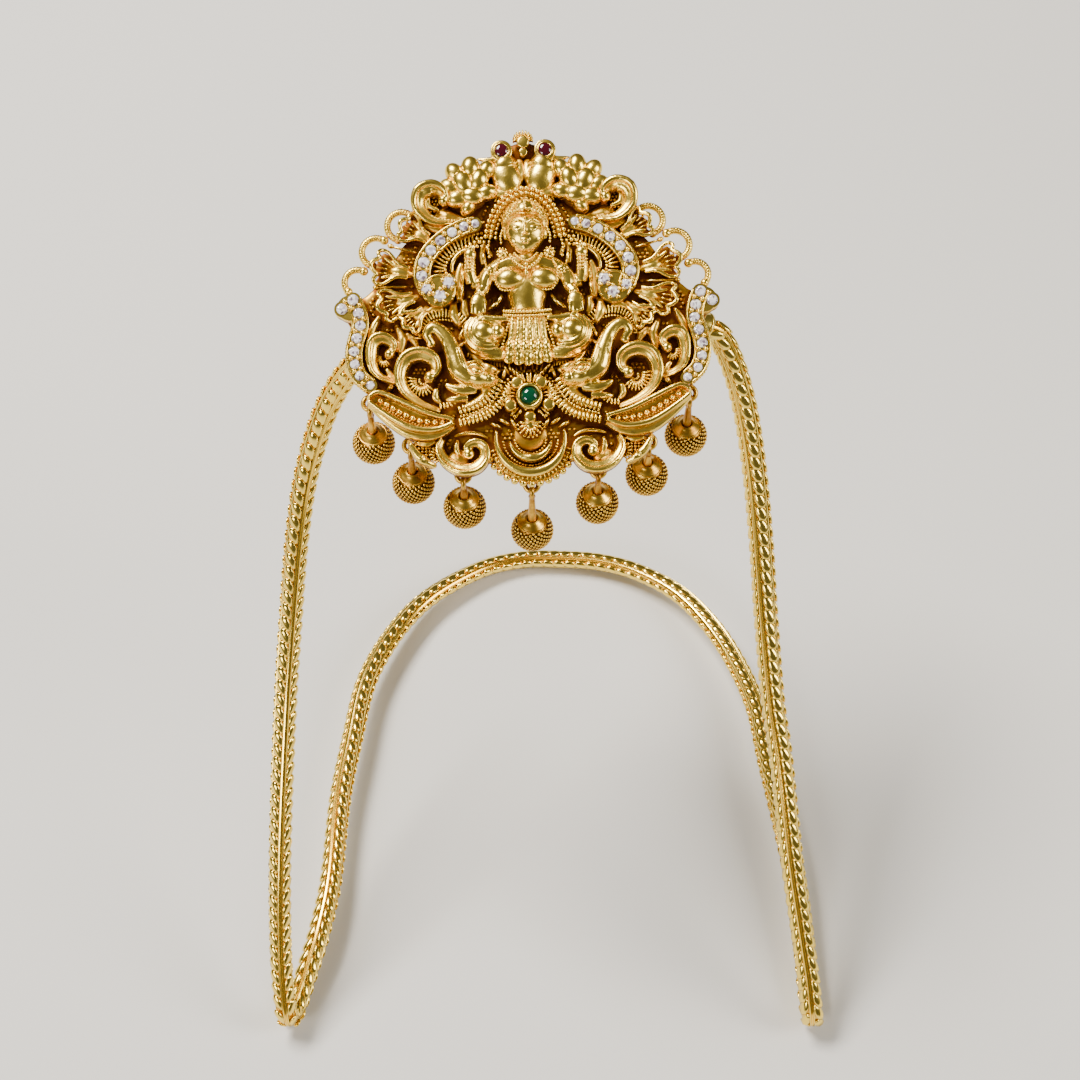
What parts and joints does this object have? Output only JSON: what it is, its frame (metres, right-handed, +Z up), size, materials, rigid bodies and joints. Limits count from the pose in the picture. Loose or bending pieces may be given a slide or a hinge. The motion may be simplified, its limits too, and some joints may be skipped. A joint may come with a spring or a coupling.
{
  "type": "bajuband armlet",
  "caption": "Upper-arm ornament: cast gold relief plaque with a seated goddess, set stones and hanging beads, on a square woven chain that goes round the arm.",
  "frame": {"origin": "middle of the armlet's footprint on the ground, as it rests on two folds of its chain and on the chain's rear arch", "axes": "+Z up, -Y towards the viewer and the plaque's hanging beads, +X to the viewer's right; the arm's axis runs back and up, 29 degrees from the ground"},
  "size_m": [0.0847, 0.0901, 0.1044],
  "materials": {
    "antique_gold": "polished on the high points, dark reddish-brown patina in the recesses",
    "chain_gold": "pale gold plating, fine weave, bright",
    "bead_gold": "antique gold, granulated below, polished above",
    "clear_stone": "clear cut stone",
    "dark_red_stone": "polished cabochon",
    "dark_green_stone": "polished cabochon"
  },
  "bodies": {
    "root": {"plaque_plate": "antique_gold", "chain": "chain_gold", "end_cap_left": "chain_gold", "end_cap_right": "chain_gold", "drop_1": "bead_gold", "drop_2": "bead_gold", "drop_3": "bead_gold", "drop_4": "bead_gold", "drop_5": "bead_gold", "drop_6": "bead_gold", "drop_7": "bead_gold", "goddess_figure": "antique_gold", "halo": "antique_gold", "finial": "antique_gold", "bird_left": "antique_gold", "bird_right": "antique_gold", "buds_left": "antique_gold", "buds_right": "antique_gold", "horn_scroll_left": "antique_gold", "horn_scroll_right": "antique_gold", "wire_loops_left": "antique_gold", "wire_loops_right": "antique_gold", "lily_fans_left": "antique_gold", "lily_fans_right": "antique_gold", "crescent_left": "antique_gold", "crescent_right": "antique_gold", "crescent_stones_left": "clear_stone", "crescent_stones_right": "clear_stone", "side_curl_left": "antique_gold", "side_curl_right": "antique_gold", "curl_stones_left": "clear_stone", "curl_stones_right": "clear_stone", "feather_left": "antique_gold", "feather_right": "antique_gold", "elephant_left": "antique_gold", "elephant_right": "antique_gold", "c_scrolls_left": "antique_gold", "c_scrolls_right": "antique_gold", "leaf_left": "antique_gold", "leaf_right": "antique_gold", "low_scroll_left": "antique_gold", "low_scroll_right": "antique_gold", "medallion": "antique_gold", "centre_flower": "antique_gold", "green_stone": "dark_green_stone", "ruby_bezel_left": "antique_gold", "ruby_bezel_right": "antique_gold", "ruby_left": "dark_red_stone", "ruby_right": "dark_red_stone"}
  },
  "joints": []
}
